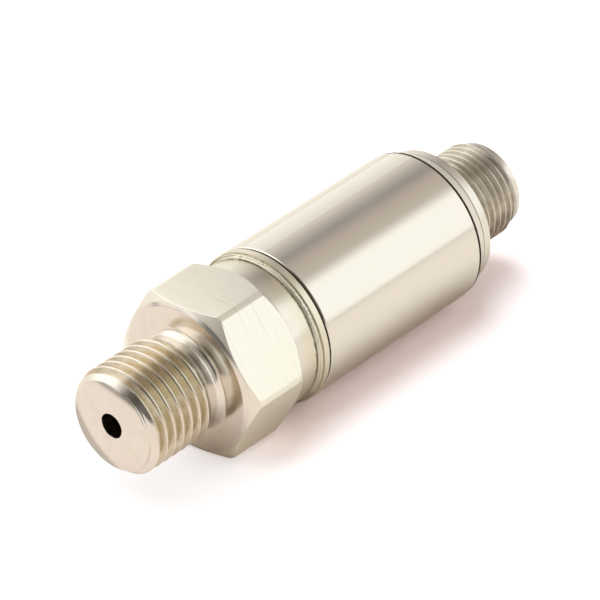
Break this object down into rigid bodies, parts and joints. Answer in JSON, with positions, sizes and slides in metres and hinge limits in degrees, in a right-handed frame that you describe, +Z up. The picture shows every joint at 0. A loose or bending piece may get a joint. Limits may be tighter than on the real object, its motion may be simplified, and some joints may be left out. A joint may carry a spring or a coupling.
{
  "type": "pressure transmitter",
  "caption": "Stainless steel pressure transmitter: threaded process stud with a small port, wrench hexagon, polished tubular housing and a threaded round plug with recessed contacts.",
  "frame": {"origin": "centre of the pressure port's mouth, in the stud's flat end face", "axes": "+X along the axis from the pressure port to the electrical plug; +Z up, square to a wrench flat, with the part lying on its side; -X points out of the port"},
  "size_m": [0.0648, 0.0214, 0.0194],
  "materials": {
    "turned_steel": "fine turned stainless steel with a warm tone",
    "polished_steel": "polished stainless tube, faint circular brushing",
    "weld_steel": "fine rippled laser weld bead",
    "cell_steel": "ground precipitation-hardened steel",
    "silicon": "fired silicon gauge",
    "bond_wire": "drawn wire",
    "circuit_board": "green solder mask on glass-epoxy",
    "seal_rubber": "black moulded seal",
    "plug_metal": "turned and plated, slightly darker than the housing",
    "insert_plastic": "black moulded insulator",
    "spring_steel": "phosphated spring steel",
    "frame_plastic": "natural moulded plastic",
    "chip_plastic": "moulded epoxy",
    "capacitor_ceramic": "fired ceramic with tinned ends",
    "resistor_ceramic": "fired ceramic with tinned ends",
    "contact_gold": "gold-flashed brass"
  },
  "bodies": {
    "root": {"process_fitting": "turned_steel", "weld_seam": "weld_steel", "sensor_carrier": "turned_steel", "measuring_cell": "cell_steel", "strain_gauges": "silicon", "bond_wires": "bond_wire", "cell_board": "circuit_board", "front_seal": "seal_rubber", "housing_tube": "polished_steel", "rear_seal": "seal_rubber", "end_cap": "turned_steel", "connector_sleeve": "plug_metal", "connector_seal": "seal_rubber", "connector_insert": "insert_plastic", "retaining_ring": "spring_steel", "terminal_board": "circuit_board", "main_board": "circuit_board", "board_frame": "frame_plastic", "amplifier_chip": "chip_plastic", "output_driver": "chip_plastic", "capacitors": "capacitor_ceramic", "resistors": "resistor_ceramic", "protection_diodes": "chip_plastic", "contact_pin_1": "contact_gold", "contact_pin_2": "contact_gold", "contact_pin_3": "contact_gold", "contact_pin_4": "contact_gold"}
  },
  "joints": []
}
